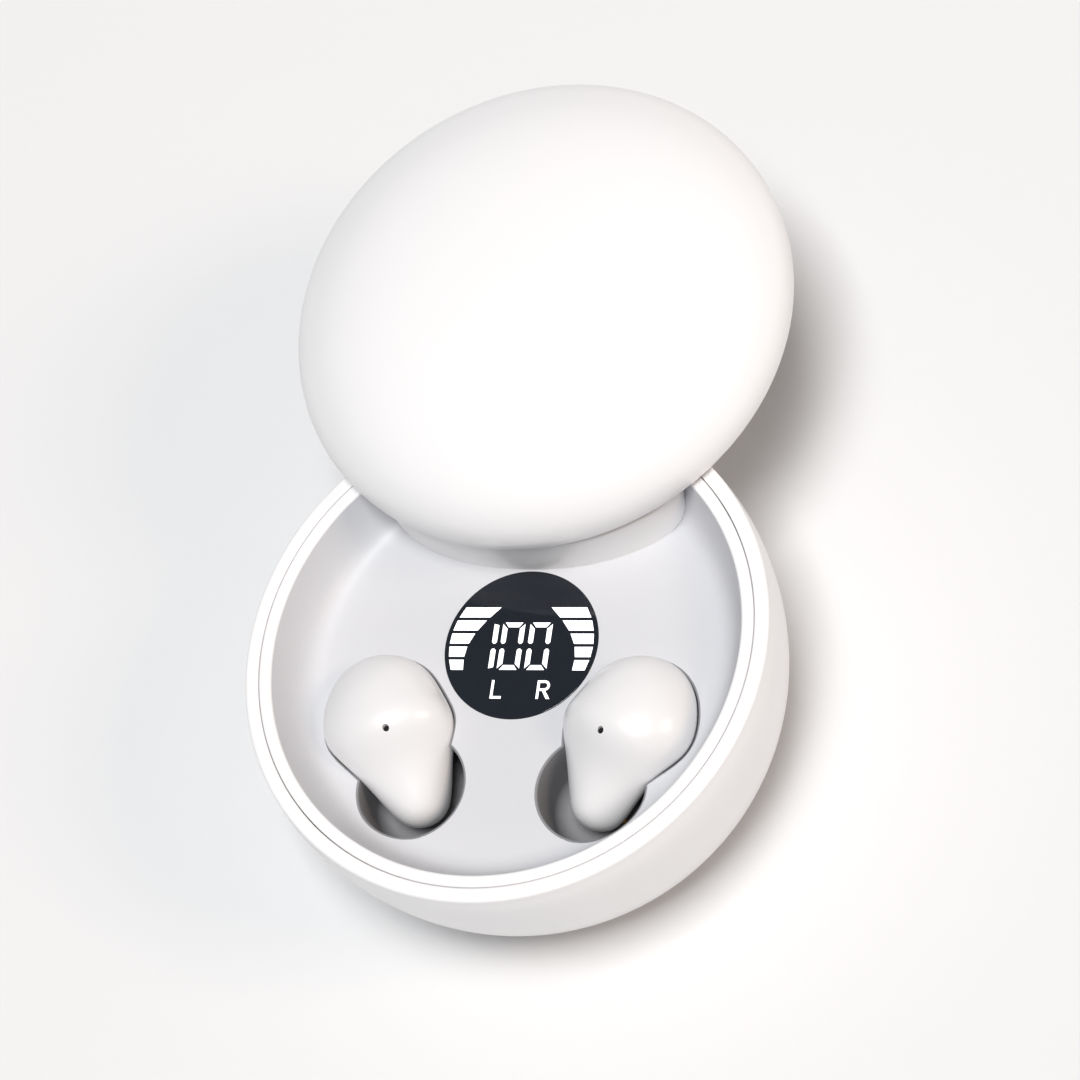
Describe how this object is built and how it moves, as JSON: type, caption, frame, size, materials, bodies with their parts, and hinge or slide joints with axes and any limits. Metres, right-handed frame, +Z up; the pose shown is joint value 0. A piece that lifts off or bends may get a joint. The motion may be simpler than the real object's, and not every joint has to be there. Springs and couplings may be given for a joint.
{
  "type": "wireless earbuds case",
  "caption": "Round pebble charging case: bowl base with a charge display and two bud pockets, under a domed lid that swivels flat on a rear pedestal.",
  "frame": {"origin": "centre of the resting pad's flat underside, on the bowl's axis", "axes": "+Z up out of the well, +Y from the bowl's axis to the swivel axis and the open lid, +X to the right-hand bud"},
  "size_m": [0.0604, 0.0984, 0.0408],
  "materials": {
    "shell_white": "moulded gloss ABS",
    "tray_white": "fine satin moulded ABS",
    "bud_white": "soft gloss moulded ABS",
    "silicone_grey": "matt moulded silicone",
    "display_black": "polished smoked acrylic",
    "light_guide": "moulded white",
    "circuit_board": "solder mask",
    "chip_black": "moulded epoxy",
    "steel": "stamped or turned steel",
    "cell_wrap": "laminated film",
    "foam": "closed cell foam",
    "magnet_plate": "nickel plated",
    "brass": "turned",
    "nylon": "moulded nylon",
    "ear_silicone": "matt moulded silicone",
    "mesh_steel": "woven mesh",
    "mic_black": "woven cloth",
    "gold_contact": "gold plated"
  },
  "bodies": {
    "base": {"outer_shell": "shell_white", "foot_pad": "silicone_grey", "inner_tray": "tray_white", "hinge_pedestal": "tray_white", "pedestal_screws": "steel", "pivot_bush": "brass", "friction_washer": "nylon", "display_window": "display_black", "display_light_guide": "light_guide", "display_board": "circuit_board", "main_board": "circuit_board", "board_components": "chip_black", "board_screws": "steel", "battery": "cell_wrap", "battery_foam": "foam", "usb_c_port": "steel", "base_magnet": "magnet_plate", "charge_pins_left": "gold_contact", "cradle_magnet_left": "magnet_plate", "charge_pins_right": "gold_contact", "cradle_magnet_right": "magnet_plate"},
    "lid": {"lid_shell": "shell_white", "lid_liner": "tray_white", "lid_magnet": "magnet_plate", "swivel_plate": "steel", "hinge_screws": "steel", "pivot_pin": "steel", "spring_washer": "steel", "retaining_clip": "steel"},
    "bud_left": {"bud_face_left": "bud_white", "bud_back_left": "bud_white", "ear_tip_left": "ear_silicone", "nozzle_mesh_left": "mesh_steel", "bud_driver_left": "steel", "bud_battery_left": "steel", "bud_board_left": "circuit_board", "mic_mesh_left": "mic_black", "charge_contacts_left": "gold_contact", "bud_magnet_left": "magnet_plate"},
    "bud_right": {"bud_face_right": "bud_white", "bud_back_right": "bud_white", "ear_tip_right": "ear_silicone", "nozzle_mesh_right": "mesh_steel", "bud_driver_right": "steel", "bud_battery_right": "steel", "bud_board_right": "circuit_board", "mic_mesh_right": "mic_black", "charge_contacts_right": "gold_contact", "bud_magnet_right": "magnet_plate"}
  },
  "joints": [
    {"name": "lid_swivel", "type": "hinge", "parent": "base", "child": "lid", "pos_m": [0, 0.01965, 0.027], "axis": [0, 0, 1], "range_deg": [0, 180]},
    {"name": "bud_left_lift", "type": "slide", "parent": "base", "child": "bud_left", "axis": [0, 0, 1], "range_m": [0, 0.008]},
    {"name": "bud_right_lift", "type": "slide", "parent": "base", "child": "bud_right", "axis": [0, 0, 1], "range_m": [0, 0.008]}
  ]
}
